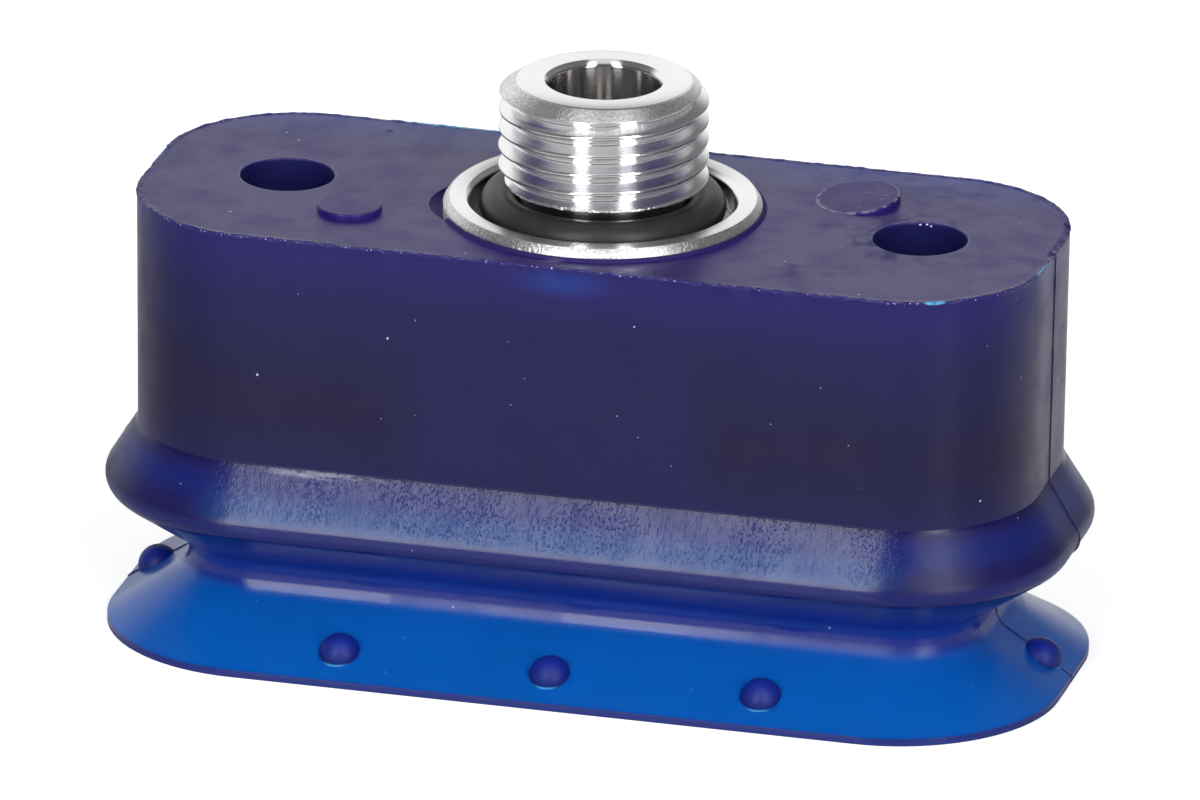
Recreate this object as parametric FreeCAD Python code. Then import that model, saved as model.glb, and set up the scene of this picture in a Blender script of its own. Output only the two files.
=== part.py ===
"""Rectangular bellows suction cup with a moulded-in threaded fitting.

Millimetres. X runs along the cup, Y across it, Z up the thread's axis. The origin is the
middle of the cup, on the plane of the lip's rim.
"""

import FreeCAD, Part
import math
import os

from FreeCAD import Vector

# Moulded block, the thick upper part of the cup
BLOCK_LENGTH = 43.0
BLOCK_WIDTH = 17.0
BLOCK_CORNER_RADIUS = 6.4
BLOCK_HEIGHT = 11.2
BLOCK_DRAFT = 0.1

# Bellows fold under the block
SHOULDER_HEIGHT = 2.7
NOSE_OVERHANG = 1.4
NOSE_RADIUS = 0.9
NECK_DROP = 3.75
NECK_DEPTH = 2.5
NECK_FILLET = 1.1
BELLOWS_WALL = 1.3
NECK_WALL = 1.1

# Thin sealing lip
LIP_LENGTH = 45.3
LIP_WIDTH = 20.7
LIP_CORNER_RADIUS = 7.8
LIP_HEIGHT = 3.45
RIM_HEIGHT = 0.38
RIM_FLAT = 0.22

# Small domes that stand on the outside of the lip
BUMP_DIAMETER = 1.9
BUMP_HEIGHT = 0.75
BUMP_ROOT = 0.2
BUMP_PITCH = 10.05
BUMPS_PER_SIDE = 3
BUMP_FROM_SIDE_RIM = 1.6
BUMP_FROM_END_RIM = 1.35

# Hollow of the block: a pocket on each side of the boss that holds the fitting
BOSS_DEPTH = 9.7
BOSS_LENGTH = 13.2
POCKET_ROOF = 5.5
POCKET_SIDE_WALL = 2.6
POCKET_END_WALL = 4.1
POCKET_CORNER_RADIUS = 2.0

# Blind holes in the top face
SIDE_HOLE_DIAMETER = 4.36
SIDE_HOLE_SPACING = 30.2
SIDE_HOLE_DEPTH = 4.0
SIDE_HOLE_EDGE_RADIUS = 0.08

# Raised ejector marks on the top face
MARK_HEIGHT = 0.3
FRONT_MARK_DIAMETER = 3.0
FRONT_MARK_X = -11.1
FRONT_MARK_Y = -3.7
REAR_MARK_DIAMETER = 3.9
REAR_MARK_X = 11.1
REAR_MARK_Y = 4.2

# Turned fitting with a G1/8 thread
THREAD_DIAMETER = 9.728
THREAD_LENGTH = 4.72
THREAD_TOP_CHAMFER_WIDTH = 0.88
THREAD_TOP_CHAMFER_HEIGHT = 0.5
THREAD_FOOT_CHAMFER = 0.16
BORE_DIAMETER = 5.07
BORE_MOUTH_WIDTH = 0.14
BORE_MOUTH_HEIGHT = 0.45
COLLAR_DIAMETER = 14.77
COLLAR_STAND = 0.54
COLLAR_HEIGHT = 3.0
COLLAR_EDGE_WIDTH = 0.26
COLLAR_EDGE_HEIGHT = 0.36
WAIST_DIAMETER = 8.6
FOOT_DIAMETER = 10.8
FOOT_HEIGHT = 2.4

# Sealing ring in the groove of the collar
CORD_DIAMETER = 1.78
GROOVE_DEPTH = 1.32
GROOVE_OUTER_DIAMETER = 12.25
UNDERCUT_DIAMETER = 7.84
UNDERCUT_STAND = 0.9

# Heights above the rim's plane
neck_z = LIP_HEIGHT
nose_z = neck_z + NECK_DROP
block_foot_z = nose_z + SHOULDER_HEIGHT
block_top_z = block_foot_z + BLOCK_HEIGHT
boss_foot_z = block_top_z - BOSS_DEPTH
pocket_roof_z = block_top_z - POCKET_ROOF
collar_top_z = block_top_z + COLLAR_STAND
collar_foot_z = collar_top_z - COLLAR_HEIGHT
groove_floor_z = collar_top_z - GROOVE_DEPTH
thread_foot_z = collar_top_z + UNDERCUT_STAND
thread_top_z = thread_foot_z + THREAD_LENGTH

ORIGIN = Vector(0, 0, 0)
UP = Vector(0, 0, 1)
ALONG_X = Vector(1, 0, 0)
ALONG_Y = Vector(0, 1, 0)


def turned(vector, radians):
    """A vector of the XZ plane, turned anticlockwise as seen with X right and Z up."""
    cosine = math.cos(radians)
    sine = math.sin(radians)
    return Vector(vector.x * cosine - vector.z * sine, 0, vector.x * sine + vector.z * cosine)


def unit(vector):
    """The same direction at length 1."""
    return vector * (1 / vector.Length)


def tangent_normal(point, centre, radius):
    """Direction from a circle's centre to where a line from the point touches its outer side."""
    to_point = point - centre
    return turned(unit(to_point), -math.acos(radius / to_point.Length))


def crossing_normal(centre, radius, far_centre, far_radius):
    """Direction square to the line that passes outside one circle and inside the other."""
    across = far_centre - centre
    return turned(unit(across), math.acos((radius + far_radius) / across.Length))


def arc(start, end, centre):
    """Edge of the shorter round stretch between two points about a centre."""
    radius = (start - centre).Length
    middle = centre + unit((start - centre) + (end - centre)) * radius
    return Part.Arc(start, middle, end).toShape()


def line(start, end):
    """Straight edge between two points."""
    return Part.LineSegment(start, end).toShape()


def polygon_face(points):
    """Flat face inside a closed row of points."""
    return Part.Face(Part.makePolygon(points + [points[0]]))


def spun(points):
    """Solid turned about Z from a half section of (radius, height) pairs."""
    return polygon_face([Vector(radius, 0, z) for radius, z in points]).revolve(ORIGIN, UP, 360)


def joined(solids):
    """One solid of several that share faces."""
    return solids[0].multiFuse(solids[1:]).removeSplitter()


def rounded_rectangle(length, width, radius, z):
    """Closed wire of four sides and four round corners, level at height z."""
    x = length / 2 - radius
    y = width / 2 - radius
    corners = []
    for turn, centre_x, centre_y in ((0, x, y), (90, -x, y), (180, -x, -y), (270, x, -y)):
        centre = Vector(centre_x, centre_y, z)
        corners.append(Part.makeCircle(radius, centre, UP, turn, turn + 90))
    edges = []
    for corner, following in zip(corners, corners[1:] + corners[:1]):
        edges.append(corner)
        edges.append(line(corner.lastVertex().Point, following.firstVertex().Point))
    return Part.Wire(edges)


def block_outline(offset, z):
    """Outline of the block's sides, moved out by the offset."""
    return rounded_rectangle(
        BLOCK_LENGTH + 2 * offset, BLOCK_WIDTH + 2 * offset, BLOCK_CORNER_RADIUS + offset, z)


def lip_outline(inset, z):
    """Outline of the lip's rim, moved in by the inset."""
    return rounded_rectangle(
        LIP_LENGTH - 2 * inset, LIP_WIDTH - 2 * inset, LIP_CORNER_RADIUS - inset, z)


def outline_between(share, offset, inset, z):
    """Outline that lies a share of the way from the neck's offset to the rim's inset."""
    def mixed(near, far):
        return near + share * (far - near)
    return rounded_rectangle(
        mixed(BLOCK_LENGTH + 2 * offset, LIP_LENGTH - 2 * inset),
        mixed(BLOCK_WIDTH + 2 * offset, LIP_WIDTH - 2 * inset),
        mixed(BLOCK_CORNER_RADIUS + offset, LIP_CORNER_RADIUS - inset), z)


def section_point(offset, z):
    """Point of the half section, by its offset from the block's side and its height."""
    return Vector(BLOCK_CORNER_RADIUS + offset, 0, z)


def carried_round(section, low_z, high_z):
    """Solid that a half section makes when it is carried round the block's outline.

    The section lies in the XZ plane with the axis of a corner at X = 0.
    """
    x = BLOCK_LENGTH / 2 - BLOCK_CORNER_RADIUS
    y = BLOCK_WIDTH / 2 - BLOCK_CORNER_RADIUS
    pieces = [Part.makeBox(2 * x, 2 * y, high_z - low_z, Vector(-x, -y, low_z))]
    runs = ((0, x, y, 2 * x), (90, -x, y, 2 * y), (180, -x, -y, 2 * x), (270, x, -y, 2 * y))
    for turn, centre_x, centre_y, run in runs:
        corner = section.revolve(ORIGIN, UP, 90)
        end_face = section.rotated(ORIGIN, UP, 90)
        side = end_face.extrude(ALONG_X * -run)
        for piece in (corner, side):
            piece.rotate(ORIGIN, UP, turn)
            piece.translate(Vector(centre_x, centre_y, 0))
            pieces.append(piece)
    return joined(pieces)


# Circles and tangents that set the bellows' half section
foot = section_point(-BLOCK_DRAFT, block_foot_z)
nose_centre = section_point(NOSE_OVERHANG - NOSE_RADIUS, nose_z)
neck_centre = section_point(NECK_FILLET - NECK_DEPTH, neck_z)
neck = section_point(-NECK_DEPTH, neck_z)
rim_offset = (LIP_WIDTH - BLOCK_WIDTH) / 2
rim = section_point(rim_offset, RIM_HEIGHT)
shoulder_normal = tangent_normal(foot, nose_centre, NOSE_RADIUS)
underside_normal = crossing_normal(nose_centre, NOSE_RADIUS, neck_centre, NECK_FILLET)
lip_normal = tangent_normal(rim, neck_centre, NECK_FILLET) * -1
lip_slope = lip_normal.x / lip_normal.z


def bellows_outside():
    """Block and fold as a full solid, from the block's top down to the neck."""
    shoulder_end = nose_centre + shoulder_normal * NOSE_RADIUS
    underside_start = nose_centre + underside_normal * NOSE_RADIUS
    underside_end = neck_centre - underside_normal * NECK_FILLET
    top = section_point(0, block_top_z)
    axis_top = Vector(0, 0, block_top_z)
    axis_foot = Vector(0, 0, neck_z)
    section = Part.Face(Part.Wire([
        line(axis_top, top),
        line(top, foot),
        line(foot, shoulder_end),
        arc(shoulder_end, underside_start, nose_centre),
        line(underside_start, underside_end),
        arc(underside_end, neck, neck_centre),
        line(neck, axis_foot),
        line(axis_foot, axis_top),
    ]))
    return carried_round(section, neck_z, block_top_z)


def lip_outside():
    """Lip as full solids: the fillet below the neck, the cone and the rim's edge."""
    fillet_steps = 5
    travel = rim_offset + NECK_DEPTH
    last_turn = math.acos(lip_normal.x)
    sections = []
    for step in range(fillet_steps + 1):
        turn = last_turn * step / fillet_steps
        point = neck_centre - Vector(math.cos(turn), 0, math.sin(turn)) * NECK_FILLET
        share = (point.x - neck.x) / travel
        sections.append(outline_between(share, -NECK_DEPTH, 0, point.z))
    fillet = Part.makeLoft(sections, True, False)
    cone = Part.makeLoft([sections[-1], lip_outline(0, RIM_HEIGHT)], True, True)
    edge = Part.Face(lip_outline(0, 0)).extrude(UP * RIM_HEIGHT)
    return [fillet, cone, edge]


def bellows_inside():
    """Hollow of the cup, open at the rim and roofed at the foot of the boss."""
    inner_neck_offset = -NECK_DEPTH - NECK_WALL
    inner_neck_z = (rim_offset - RIM_FLAT - inner_neck_offset) * lip_slope
    lip_hollow = Part.makeLoft([
        lip_outline(RIM_FLAT, 0),
        block_outline(inner_neck_offset, inner_neck_z),
    ], True, True)

    bisector = shoulder_normal + underside_normal
    nose_reach = 2 * (NOSE_RADIUS - BELLOWS_WALL) / bisector.Length
    inner_nose = nose_centre + unit(bisector) * nose_reach
    inner_neck_x = BLOCK_CORNER_RADIUS + inner_neck_offset
    underside_slope = -underside_normal.x / underside_normal.z
    throat_z = inner_nose.z - (inner_nose.x - inner_neck_x) * underside_slope
    shoulder_lean = shoulder_normal.z / shoulder_normal.x
    roof_x = inner_nose.x - (boss_foot_z - inner_nose.z) * shoulder_lean
    section = polygon_face([
        Vector(0, 0, inner_neck_z),
        Vector(inner_neck_x, 0, inner_neck_z),
        Vector(inner_neck_x, 0, throat_z),
        inner_nose,
        Vector(roof_x, 0, boss_foot_z),
        Vector(0, 0, boss_foot_z),
    ])
    return joined([lip_hollow, carried_round(section, inner_neck_z, boss_foot_z)])


def pockets():
    """Two hollows that rise from the bellows into the block, one on each side of the boss."""
    outer_x = BLOCK_LENGTH / 2 - POCKET_END_WALL
    inner_x = BOSS_LENGTH / 2
    width = BLOCK_WIDTH - 2 * POCKET_SIDE_WALL
    outline = rounded_rectangle(outer_x - inner_x, width, POCKET_CORNER_RADIUS, boss_foot_z)
    pocket = Part.Face(outline).extrude(UP * (pocket_roof_z - boss_foot_z))
    middle_x = (outer_x + inner_x) / 2
    return [pocket.translated(Vector(side * middle_x, 0, 0)) for side in (-1, 1)]


def lip_bumps():
    """Domes on the outside of the lip: a row along each long side and one at each end."""
    radius = BUMP_DIAMETER / 2
    crown = Vector(0, 0, BUMP_HEIGHT)
    edge = Vector(radius, 0, 0)
    ball_radius = (radius ** 2 + BUMP_HEIGHT ** 2) / (2 * BUMP_HEIGHT)
    ball_centre = Vector(0, 0, BUMP_HEIGHT - ball_radius)
    root_edge = Vector(radius, 0, -BUMP_ROOT)
    root = Vector(0, 0, -BUMP_ROOT)
    dome = Part.Face(Part.Wire([
        line(root, root_edge),
        line(root_edge, edge),
        arc(edge, crown, ball_centre),
        line(crown, root),
    ])).revolve(ORIGIN, UP, 360)

    lip_top = neck_centre - lip_normal * NECK_FILLET
    side_run = rim.x - lip_top.x
    share = side_run / (rim_offset + NECK_DEPTH)
    end_run = share * ((LIP_LENGTH - BLOCK_LENGTH) / 2 + NECK_DEPTH)

    def seated(turn, half_lip, from_rim, run, along):
        """Dome on the lip: turned to face out, at its distance from the rim, moved along."""
        slope = (lip_top.z - rim.z) / run
        bump = dome.rotated(ORIGIN, ALONG_Y, math.degrees(math.atan(slope)))
        bump.translate(Vector(half_lip - from_rim, along, rim.z + from_rim * slope))
        bump.rotate(ORIGIN, UP, turn)
        return bump

    bumps = []
    for half_turn in (0, 180):
        bumps.append(seated(half_turn, LIP_LENGTH / 2, BUMP_FROM_END_RIM, end_run, 0))
        for number in range(BUMPS_PER_SIDE):
            along = (number - (BUMPS_PER_SIDE - 1) / 2) * BUMP_PITCH
            bumps.append(seated(half_turn + 90, LIP_WIDTH / 2, BUMP_FROM_SIDE_RIM, side_run, along))
    return bumps


def ejector_marks():
    """Two round raised marks on the top face."""
    marks = []
    for diameter, x, y in ((FRONT_MARK_DIAMETER, FRONT_MARK_X, FRONT_MARK_Y),
                           (REAR_MARK_DIAMETER, REAR_MARK_X, REAR_MARK_Y)):
        marks.append(Part.makeCylinder(diameter / 2, MARK_HEIGHT, Vector(x, y, block_top_z)))
    return marks


def side_holes():
    """Tools for the two blind holes, with a slightly rounded edge at the top face."""
    radius = SIDE_HOLE_DIAMETER / 2
    edge_radius = SIDE_HOLE_EDGE_RADIUS
    mouth = Vector(radius + edge_radius, 0, block_top_z)
    wall_top = Vector(radius, 0, block_top_z - edge_radius)
    edge_centre = Vector(radius + edge_radius, 0, block_top_z - edge_radius)
    floor_z = block_top_z - SIDE_HOLE_DEPTH
    wall_foot = Vector(radius, 0, floor_z)
    floor_middle = Vector(0, 0, floor_z)
    top_middle = Vector(0, 0, block_top_z)
    hole = Part.Face(Part.Wire([
        line(top_middle, mouth),
        arc(mouth, wall_top, edge_centre),
        line(wall_top, wall_foot),
        line(wall_foot, floor_middle),
        line(floor_middle, top_middle),
    ])).revolve(ORIGIN, UP, 360)
    reach = SIDE_HOLE_SPACING / 2
    return [hole.translated(Vector(side * reach, 0, 0)) for side in (-1, 1)]


def embedded_profile():
    """Half section of what the block is moulded round, from the boss's foot to the collar."""
    waist_foot_z = boss_foot_z + FOOT_HEIGHT
    return [
        (FOOT_DIAMETER / 2, boss_foot_z),
        (FOOT_DIAMETER / 2, waist_foot_z),
        (WAIST_DIAMETER / 2, waist_foot_z),
        (WAIST_DIAMETER / 2, collar_foot_z),
        (COLLAR_DIAMETER / 2, collar_foot_z),
    ]


def cup_body():
    """The moulded cup: block, bellows and lip in one piece, with the fitting's seat."""
    outside = joined([bellows_outside()] + lip_outside())
    shell = outside.cut([bellows_inside()] + pockets())
    shell = shell.fuse(lip_bumps() + ejector_marks())
    seat = spun(embedded_profile() + [(COLLAR_DIAMETER / 2, block_top_z), (0, block_top_z),
                                      (0, boss_foot_z)])
    return shell.cut(side_holes() + [seat]).removeSplitter()


def threaded_fitting():
    """Turned fitting: foot, waist and collar in the block, groove, undercut, thread and bore."""
    thread_r = THREAD_DIAMETER / 2
    bore_r = BORE_DIAMETER / 2
    collar_r = COLLAR_DIAMETER / 2
    groove_r = GROOVE_OUTER_DIAMETER / 2
    undercut_r = UNDERCUT_DIAMETER / 2
    return spun([(bore_r, boss_foot_z)] + embedded_profile() + [
        (collar_r, collar_top_z - COLLAR_EDGE_HEIGHT),
        (collar_r - COLLAR_EDGE_WIDTH, collar_top_z),
        (groove_r, collar_top_z),
        (groove_r, groove_floor_z),
        (undercut_r, groove_floor_z),
        (undercut_r, thread_foot_z),
        (thread_r - THREAD_FOOT_CHAMFER, thread_foot_z),
        (thread_r, thread_foot_z + THREAD_FOOT_CHAMFER),
        (thread_r, thread_top_z - THREAD_TOP_CHAMFER_HEIGHT),
        (thread_r - THREAD_TOP_CHAMFER_WIDTH, thread_top_z),
        (bore_r + BORE_MOUTH_WIDTH, thread_top_z),
        (bore_r, thread_top_z - BORE_MOUTH_HEIGHT),
    ])


def o_ring():
    """Round cord ring that lies on the groove's floor and grips the undercut."""
    cord_r = CORD_DIAMETER / 2
    ring_r = UNDERCUT_DIAMETER / 2 + cord_r
    return Part.makeTorus(ring_r, cord_r, Vector(0, 0, groove_floor_z + cord_r), UP)


os.makedirs("parts", exist_ok=True)
for name, shape in (("cup_body", cup_body()),
                    ("threaded_fitting", threaded_fitting()),
                    ("o_ring", o_ring())):
    box = shape.BoundBox
    print(f"{name}: valid {shape.isValid()}, solids {len(shape.Solids)}, volume {shape.Volume:.1f},"
          f" size {box.XLength:.2f} x {box.YLength:.2f} x {box.ZLength:.2f}, foot {box.ZMin:.2f}")
    shape.exportStep(f"parts/{name}.step")
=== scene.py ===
# %% [markdown]
# # A rectangular suction cup, dressed for its portrait
# The real object is a soft cup that a robot arm carries to lift flat things. A block of blue
# see-through rubber is moulded round a threaded metal fitting; under the block the wall folds
# like a bellows and ends in a thin lip. The imported model gives every place and size, so the
# lesson starts by loading it; the finished pieces keep to its box.

import math

import bpy
from mathutils import Matrix, Vector
from mathutils.bvhtree import BVHTree


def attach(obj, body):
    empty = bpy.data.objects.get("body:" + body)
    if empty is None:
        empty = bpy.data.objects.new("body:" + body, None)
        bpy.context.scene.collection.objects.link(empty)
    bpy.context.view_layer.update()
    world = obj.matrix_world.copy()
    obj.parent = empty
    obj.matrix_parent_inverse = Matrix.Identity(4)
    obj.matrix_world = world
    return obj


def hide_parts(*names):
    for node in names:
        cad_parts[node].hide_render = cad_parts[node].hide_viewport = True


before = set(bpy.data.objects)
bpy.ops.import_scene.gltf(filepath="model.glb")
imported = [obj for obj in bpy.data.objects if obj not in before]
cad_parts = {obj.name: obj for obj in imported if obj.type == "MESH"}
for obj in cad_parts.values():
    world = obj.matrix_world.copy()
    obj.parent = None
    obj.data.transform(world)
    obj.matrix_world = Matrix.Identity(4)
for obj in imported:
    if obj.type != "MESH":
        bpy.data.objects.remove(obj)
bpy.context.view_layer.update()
MM = 0.001

# %% [markdown]
# ## The camera
# The photograph was taken with a long lens, so lines that run away from the viewer hardly
# meet. A camera could be aimed by eye, but here its turn, height, tilt and distance were
# measured from the outlines, so they are simply written down and turned into a matrix.

# %% Place the camera
AZIMUTH = math.radians(14.527)
ELEVATION = math.radians(20.665)
ROLL = math.radians(0.716)
DISTANCE = 1.0751
AIM = Vector((-0.00002, 0.0, 0.011558))
SENSOR = 36.0
FOCAL_PIXELS = 23227.1
PHOTO_PIXELS = 1200.0

towards = Vector((math.sin(AZIMUTH) * math.cos(ELEVATION),
                  -math.cos(AZIMUTH) * math.cos(ELEVATION), math.sin(ELEVATION)))
level = Vector((math.cos(AZIMUTH), math.sin(AZIMUTH), 0.0))
upward = towards.cross(level)
right = level * math.cos(ROLL) + upward * math.sin(ROLL)
up = upward * math.cos(ROLL) - level * math.sin(ROLL)

bpy.ops.object.select_all(action="DESELECT")
bpy.ops.object.camera_add(location=AIM + towards * DISTANCE)
camera = bpy.context.object
turn = Matrix((right, up, towards)).transposed().to_4x4()
camera.matrix_world = Matrix.Translation(AIM + towards * DISTANCE) @ turn
camera.data.sensor_width = SENSOR
camera.data.lens = FOCAL_PIXELS * SENSOR / PHOTO_PIXELS
camera.data.clip_start = 0.05
bpy.context.scene.camera = camera
print("camera lens, mm:", round(camera.data.lens, 1))

# %% [markdown]
# ## A pencil for half sections
# Moulded and turned things start as a half section: the line that a knife would show. It
# could be typed in as a mesh, but by hand one would drop a point and pull new points out of
# it, one after the other, and that is what this helper does with Extrude.

# %% A line of points drawn by extruding
MERGE = 0.002 * MM


def let_go():
    """Leaves edit mode and deselects everything."""
    if bpy.context.mode != "OBJECT":
        bpy.ops.object.mode_set(mode="OBJECT")
    bpy.ops.object.select_all(action="DESELECT")


def hold(pieces):
    """Selects just these pieces and makes the first one active."""
    let_go()
    for piece in pieces:
        piece.select_set(True)
    bpy.context.view_layer.objects.active = pieces[0]


def draw_line(name, points):
    """A row of edges through points in mm; the piece stays in edit mode, its last point selected."""
    let_go()
    bpy.ops.mesh.primitive_plane_add(size=MM)
    piece = bpy.context.object
    piece.name = name
    bpy.ops.object.mode_set(mode="EDIT")
    bpy.ops.mesh.merge(type="CENTER")
    bpy.ops.transform.translate(value=Vector(points[0]) * MM)
    for here, there in zip(points, points[1:]):
        step = (Vector(there) - Vector(here)) * MM
        bpy.ops.mesh.extrude_region_move(TRANSFORM_OT_translate={"value": step})
    return piece


def finish_mesh(piece):
    """Merges doubles, turns all faces outwards and goes back to object mode."""
    bpy.ops.mesh.select_all(action="SELECT")
    bpy.ops.mesh.remove_doubles(threshold=MERGE)
    bpy.ops.mesh.normals_make_consistent(inside=False)
    bpy.ops.object.mode_set(mode="OBJECT")
    print(piece.name, "has", len(piece.data.vertices), "points and", len(piece.data.polygons), "faces")


def turn_on_lathe(name, section, steps):
    """Closed solid spun about Z from (radius, height) pairs in mm, closed on itself or on the axis."""
    points = [(radius, 0, z) for radius, z in section]
    on_axis = section[0][0] == 0 and section[-1][0] == 0
    piece = draw_line(name, points if on_axis else points + points[:1])
    bpy.ops.mesh.select_all(action="SELECT")
    bpy.ops.mesh.remove_doubles(threshold=MERGE)
    bpy.ops.mesh.spin(steps=steps, angle=math.tau, center=(0, 0, 0), axis=(0, 0, 1))
    finish_mesh(piece)
    return piece


# %% [markdown]
# ## The half section of the cup
# From the top edge the line runs down the block's side, out over the shoulder, round the
# nose of the fold, back in to the neck and out again along the lip; then it turns at the rim
# and climbs the inside. Straight stretches meet the round ones where they just touch, so a
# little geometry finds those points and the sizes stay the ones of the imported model.

# %% Sizes and tangents of the fold
CORNER = 6.4
CORNER_X = 15.1
CORNER_Y = 2.1
TOP_Z = 21.1
FOOT_Z = 9.9
NOSE = Vector((CORNER + 0.5, 7.2))
NOSE_R = 0.9
NECK_DEPTH = 2.5
NECK_X = CORNER - NECK_DEPTH
NECK_R = 1.1
NECK = Vector((NECK_X + NECK_R, 3.45))
RIM_OUT = 1.85
RIM = Vector((CORNER + RIM_OUT, 0.38))
FOOT = Vector((CORNER - 0.1, FOOT_Z))


def turned(vector, radians):
    """The vector, turned anticlockwise."""
    return Matrix.Rotation(radians, 2) @ vector


def touch(point, centre, radius):
    """Direction from a circle's centre to where a line from the point touches its outer side."""
    away = point - centre
    return turned(away.normalized(), -math.acos(radius / away.length))


def bow(centre, radius, start, end, steps):
    """Points of the arc between two angles in radians."""
    angles = [start + (end - start) * i / steps for i in range(steps + 1)]
    return [centre + radius * Vector((math.cos(a), math.sin(a))) for a in angles]


def straight(start, end, steps):
    """Evenly spaced points between two, without the first one."""
    return [start.lerp(end, (i + 1) / steps) for i in range(steps)]


shoulder_way = touch(FOOT, NOSE, NOSE_R)
across = NECK - NOSE
under_way = turned(across.normalized(), math.acos((NOSE_R + NECK_R) / across.length))
lip_way = -touch(RIM, NECK, NECK_R)
lip_slope = lip_way.x / lip_way.y


def angle_of(vector):
    """Angle of a direction, in radians from -pi to pi."""
    return math.atan2(vector.y, vector.x)


print("shoulder leans", round(90 - math.degrees(angle_of(shoulder_way)), 1), "degrees from level,",
      "lip falls", round(math.degrees(math.atan(lip_slope)), 1))

# %% Outside of the section, from the top edge to the rim
top_edge = [Vector((CORNER - 0.3, TOP_Z)), Vector((CORNER - 0.07, TOP_Z + 0.01)),
            Vector((CORNER, TOP_Z)), Vector((CORNER + 0.015, TOP_Z - 0.07)),
            Vector((CORNER, TOP_Z - 0.2))]
side = straight(top_edge[-1], FOOT, 18)
shoulder = straight(FOOT, NOSE + shoulder_way * NOSE_R, 10)
nose = bow(NOSE, NOSE_R, angle_of(shoulder_way), angle_of(under_way), 12)[1:]
under = straight(nose[-1], NECK - under_way * NECK_R, 6)
start_turn = angle_of(-under_way) % math.tau
end_turn = angle_of(-lip_way) % math.tau
neck = bow(NECK, NECK_R, start_turn, end_turn, 14)[1:]
lip = straight(neck[-1], RIM, 22)
outside = top_edge + side + shoulder + nose + under + neck + lip
print("outside of the section:", len(outside), "points, neck at",
      [round(v, 2) for v in min(outside, key=lambda p: p.x)])

# %% Inside of the section, from the rim to the roof of the hollow
ROOF_Z = 11.4
RIM_WIDTH = 0.22
NECK_WALL = 1.1
FOLD_WALL = 1.3
INNER_NECK_X = NECK_X - NECK_WALL
INNER_RIM_X = RIM.x - RIM_WIDTH
INNER_TRAVEL = INNER_RIM_X - INNER_NECK_X

inner_neck = Vector((INNER_NECK_X, INNER_TRAVEL * lip_slope))
bisector = shoulder_way + under_way
inner_nose = NOSE + bisector.normalized() * (2 * (NOSE_R - FOLD_WALL) / bisector.length)
throat_rise = (inner_nose.x - INNER_NECK_X) * under_way.x / under_way.y
throat = Vector((INNER_NECK_X, inner_nose.y + throat_rise))
roof = Vector((inner_nose.x - (ROOF_Z - inner_nose.y) * shoulder_way.y / shoulder_way.x, ROOF_Z))
rim_edge = [Vector((RIM.x, 0.2)), Vector((RIM.x, 0.04)), Vector((RIM.x - 0.04, 0.0)),
            Vector((INNER_RIM_X, 0.0))]
inner_lip = straight(rim_edge[-1], inner_neck, 16)
inside = inner_lip + straight(inner_neck, throat, 3) + straight(throat, inner_nose, 6)
inside += straight(inner_nose, roof, 5)
print("inside of the section:", len(inside), "points, wall of the lip",
      round((RIM - rim_edge[-1]).dot(lip_way), 2), "mm")

# %% [markdown]
# ## Carrying the section round
# A moulded cup of this outline could be lofted, but four quarter turns and four straight runs
# give clean rows of faces: Spin takes the corners and Extrude the sides. The lip reaches out
# further across the cup than along it, so each point of the lip carries a share, kept in a
# vertex group that travels along with Spin and Extrude, and is moved by that share at the end.

# %% Draw the section in a corner of the cup
LIP_SPREAD_Y = 0.45
LIP_SPREAD_X = -0.25
OUTER_TRAVEL = RIM_OUT + NECK_DEPTH


def share_of(point, from_neck, travel, neck_height):
    """How far a point of the lip lies between neck and rim, from 0 to 1."""
    return max(0.0, (point.x - from_neck) / travel) if point.y < neck_height else 0.0


section = [(p, share_of(p, NECK_X, OUTER_TRAVEL, NECK.y)) for p in outside + rim_edge[:2]]
section += [(p, share_of(p, INNER_NECK_X, INNER_TRAVEL, inner_neck.y)) for p in rim_edge[2:] + inside]
drawn = [Vector((CORNER_X + p.x - LIP_SPREAD_Y * share, CORNER_Y, p.y)) for p, share in section]

cup = draw_line("cup_skin", drawn)
bpy.ops.object.mode_set(mode="OBJECT")
lip_share = cup.vertex_groups.new(name="lip_share")
outer_side = cup.vertex_groups.new(name="outer_side")
for vertex in cup.data.vertices:
    number = min(range(len(drawn)), key=lambda i: (drawn[i] * MM - vertex.co).length)
    lip_share.add([vertex.index], section[number][1], "REPLACE")
    outer_side.add([vertex.index], 1.0 if number < len(outside) else 0.0, "REPLACE")
print("the section has", len(cup.data.vertices), "points")

# %% Spin the corners and extrude the sides
CORNER_STEPS = 20
LONG_STEPS = 100
end_places = [CORNER_Y, 1.5, 1.0, 0.6, 0.3, 0.12, 0.05, 0.0]
end_places += [-y for y in reversed(end_places[:-1])]
end_steps = [a - b for a, b in zip(end_places, end_places[1:])]
long_steps = [2 * CORNER_X / LONG_STEPS] * LONG_STEPS

bpy.ops.object.mode_set(mode="EDIT")
bpy.ops.mesh.select_all(action="SELECT")
for centre_x, centre_y, way, steps in ((CORNER_X, CORNER_Y, Vector((-1, 0, 0)), long_steps),
                                       (-CORNER_X, CORNER_Y, Vector((0, -1, 0)), end_steps),
                                       (-CORNER_X, -CORNER_Y, Vector((1, 0, 0)), long_steps),
                                       (CORNER_X, -CORNER_Y, Vector((0, 1, 0)), end_steps)):
    bpy.ops.mesh.spin(steps=CORNER_STEPS, angle=-math.pi / 2, axis=(0, 0, 1),
                      center=(centre_x * MM, centre_y * MM, 0))
    for step in steps:
        bpy.ops.mesh.extrude_region_move(TRANSFORM_OT_translate={"value": way * step * MM})
bpy.ops.mesh.select_all(action="SELECT")
bpy.ops.mesh.remove_doubles(threshold=MERGE)
bpy.ops.mesh.fill_holes(sides=0)
finish_mesh(cup)

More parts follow.
